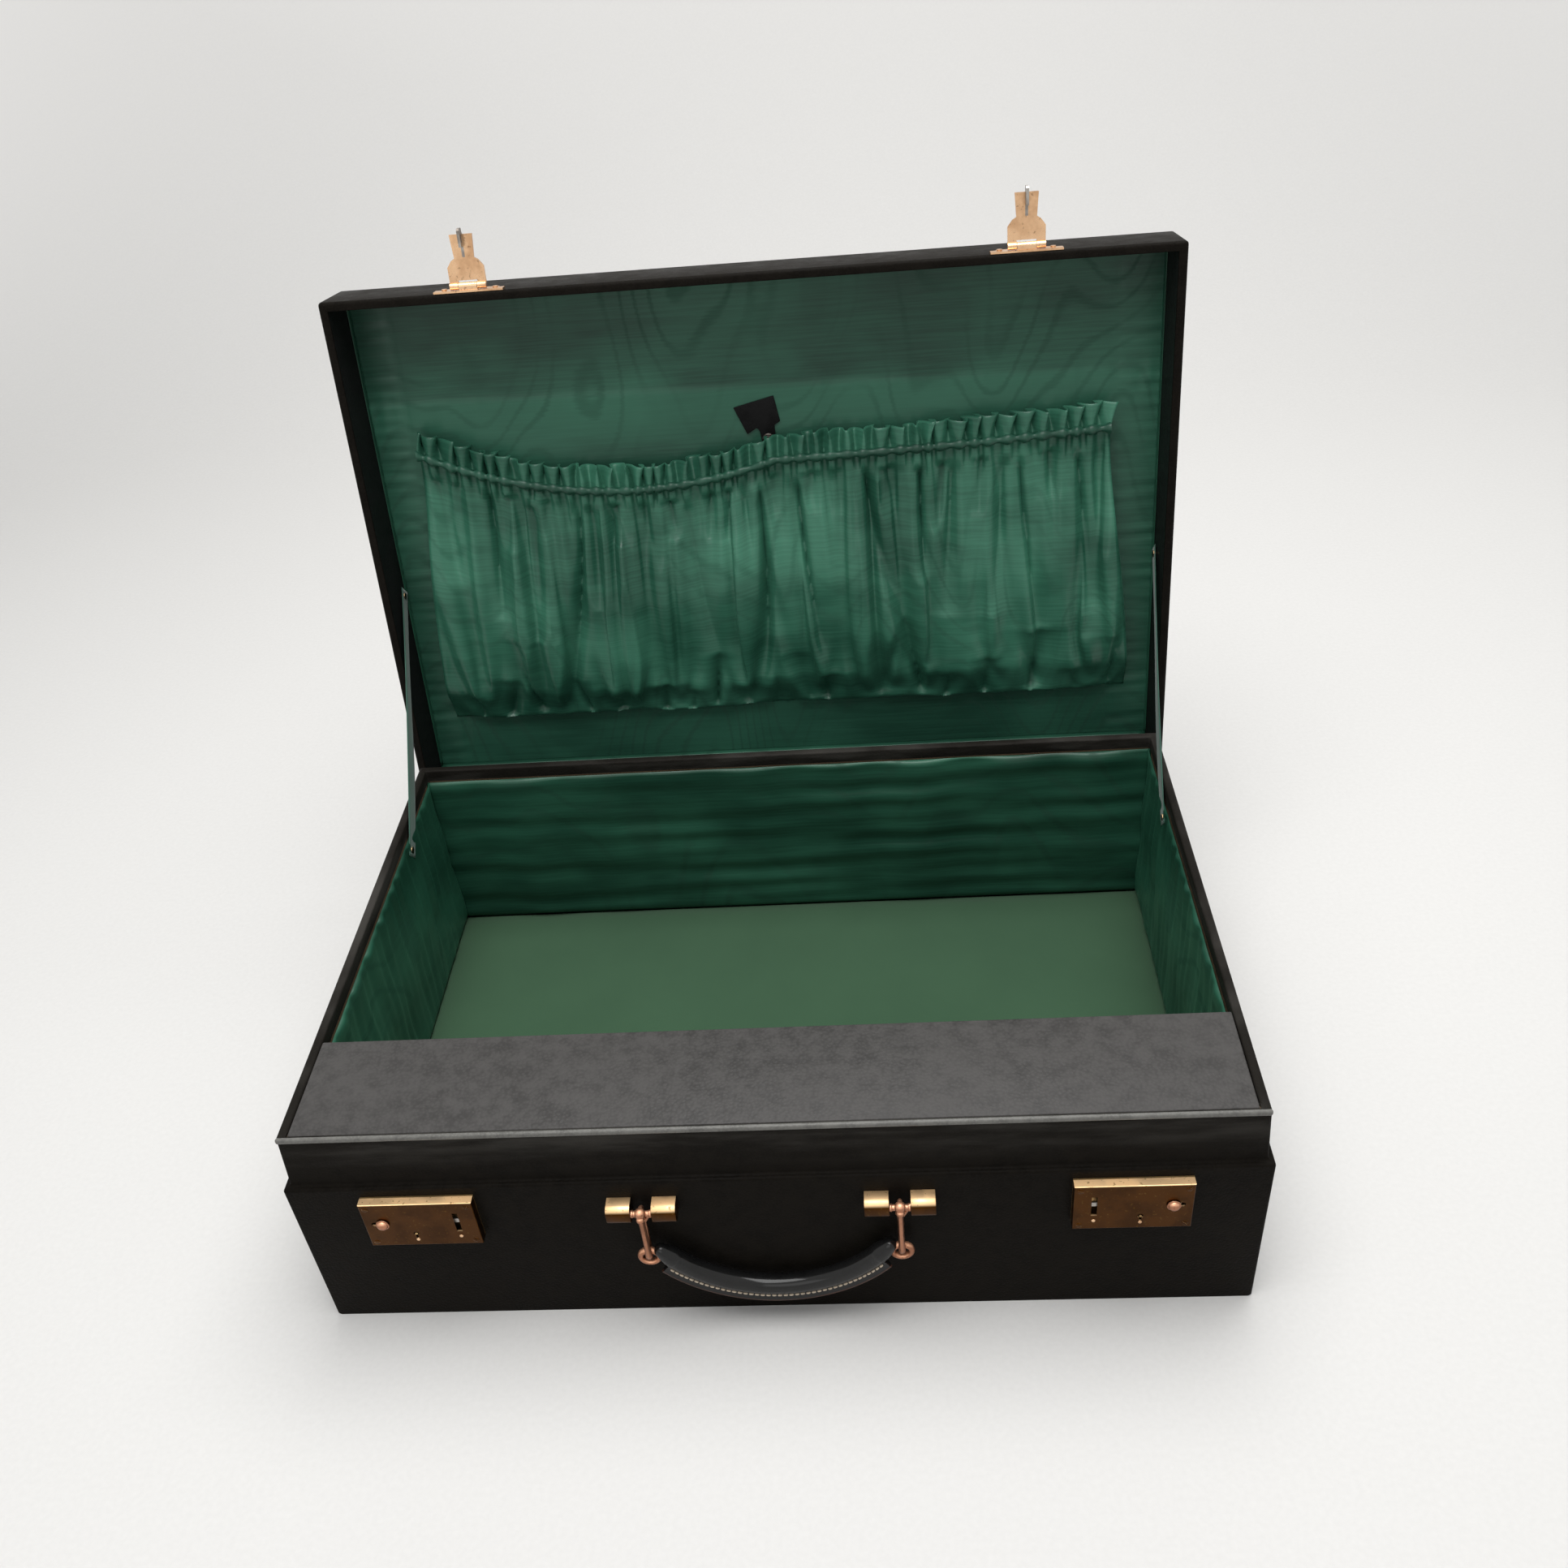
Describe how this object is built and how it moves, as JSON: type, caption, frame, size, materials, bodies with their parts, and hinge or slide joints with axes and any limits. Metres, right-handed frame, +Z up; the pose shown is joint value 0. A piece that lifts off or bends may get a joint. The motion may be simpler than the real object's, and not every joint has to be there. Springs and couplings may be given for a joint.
{
  "type": "fitted dressing case",
  "caption": "Open leather dressing case with a silk-lined well, a flapped front compartment, a lid with a gathered pocket, box locks with swinging hasps and a carrying handle.",
  "frame": {"origin": "centre of the base, on the surface it stands on", "axes": "+X to the right seen from the front, +Y to the back where the lid is hinged, +Z up"},
  "size_m": [0.563, 0.4869, 0.5257],
  "materials": {
    "black_leather": "grained, semi-gloss",
    "smooth_black_leather": "smooth, satin",
    "handle_leather": "stitched, polished by use",
    "green_silk": "watered silk, soft sheen",
    "green_ribbon": "ribbed ribbon",
    "case_board": "thin board, unfinished inside",
    "gilt_brass": "gilt, worn",
    "copper_gilt": "worn gilt, copper showing",
    "plain_steel": "satin"
  },
  "bodies": {
    "case": {"base_board": "case_board", "base_covering": "black_leather", "body_leather": "black_leather", "compartment_lining": "green_silk", "handle_mounts": "gilt_brass", "handle_pins": "plain_steel", "handle_rivets": "gilt_brass", "hinge_leaves_body": "gilt_brass", "hinge_pins": "plain_steel", "hinge_screws_body": "gilt_brass", "liner_back": "case_board", "liner_front": "case_board", "liner_sides": "case_board", "lock_backplates": "gilt_brass", "lock_cover_left": "gilt_brass", "lock_cover_right": "gilt_brass", "lock_screws": "gilt_brass", "lock_springs": "plain_steel", "partition": "case_board", "shell_back": "case_board", "shell_front": "case_board", "shell_sides": "case_board", "stay_rivets_body": "gilt_brass", "well_floor": "green_silk", "well_lining_back": "green_silk", "well_lining_front": "green_silk", "well_lining_sides": "green_silk"},
    "flap": {"flap_board": "case_board", "flap_leather": "black_leather", "flap_lining": "green_silk"},
    "lid": {"lid_top_board": "case_board", "lid_wall_front": "case_board", "lid_wall_back": "case_board", "lid_wall_sides": "case_board", "lid_leather": "black_leather", "lid_rim_strip": "smooth_black_leather", "lid_side_lining": "green_silk", "lid_panel": "green_silk", "pocket": "green_silk", "pocket_tab": "smooth_black_leather", "tab_stud": "gilt_brass", "hinge_leaves_lid": "gilt_brass", "hinge_screws_lid": "gilt_brass", "hasp_plates": "gilt_brass", "hasp_rivets": "gilt_brass", "hasp_pins": "plain_steel", "stay_rivets_lid": "gilt_brass", "stay_left": "green_ribbon", "stay_right": "green_ribbon"},
    "hasp_left": {"hasp_leaf_left": "gilt_brass", "hasp_hook_left": "plain_steel"},
    "hasp_right": {"hasp_leaf_right": "gilt_brass", "hasp_hook_right": "plain_steel"},
    "bolt_left": {"lock_bolt_left": "plain_steel", "lock_button_left": "copper_gilt"},
    "bolt_right": {"lock_bolt_right": "plain_steel", "lock_button_right": "copper_gilt"},
    "shackle_pair": {"shackles": "copper_gilt"},
    "handle": {"handle_grip": "handle_leather", "handle_eyes": "copper_gilt"}
  },
  "joints": [
    {"name": "lid_hinge", "type": "hinge", "parent": "case", "child": "lid", "pos_m": [0, 0.1869, 0.121], "axis": [-1, 0, 0], "range_deg": [-98.9, 0], "deforming": ["stay_left", "stay_right"]},
    {"name": "flap_hinge", "type": "hinge", "parent": "case", "child": "flap", "pos_m": [0, -0.174, 0.16], "axis": [1, 0, 0], "range_deg": [0, 120]},
    {"name": "hasp_left_hinge", "type": "hinge", "parent": "lid", "child": "hasp_left", "pos_m": [-0.1805, 0.24978, 0.49022], "axis": [-1, 0, 0], "range_deg": [-90, 0]},
    {"name": "hasp_right_hinge", "type": "hinge", "parent": "lid", "child": "hasp_right", "pos_m": [0.1805, 0.24978, 0.49022], "axis": [-1, 0, 0], "range_deg": [-90, 0]},
    {"name": "lock_slide_left", "type": "slide", "parent": "case", "child": "bolt_left", "axis": [-1, 0, 0], "range_m": [0, 0.005], "stiffness_N_per_m": 150, "deforming": ["lock_springs"]},
    {"name": "lock_slide_right", "type": "slide", "parent": "case", "child": "bolt_right", "axis": [1, 0, 0], "range_m": [0, 0.005], "stiffness_N_per_m": 150, "deforming": ["lock_springs"]},
    {"name": "shackle_swing", "type": "hinge", "parent": "case", "child": "shackle_pair", "pos_m": [0, -0.1886, 0.1025], "axis": [-1, 0, 0], "range_deg": [0, 140]},
    {"name": "handle_tilt", "type": "hinge", "parent": "shackle_pair", "child": "handle", "pos_m": [0, -0.1886, 0.0685], "axis": [-1, 0, 0], "range_deg": [0, 60]}
  ]
}
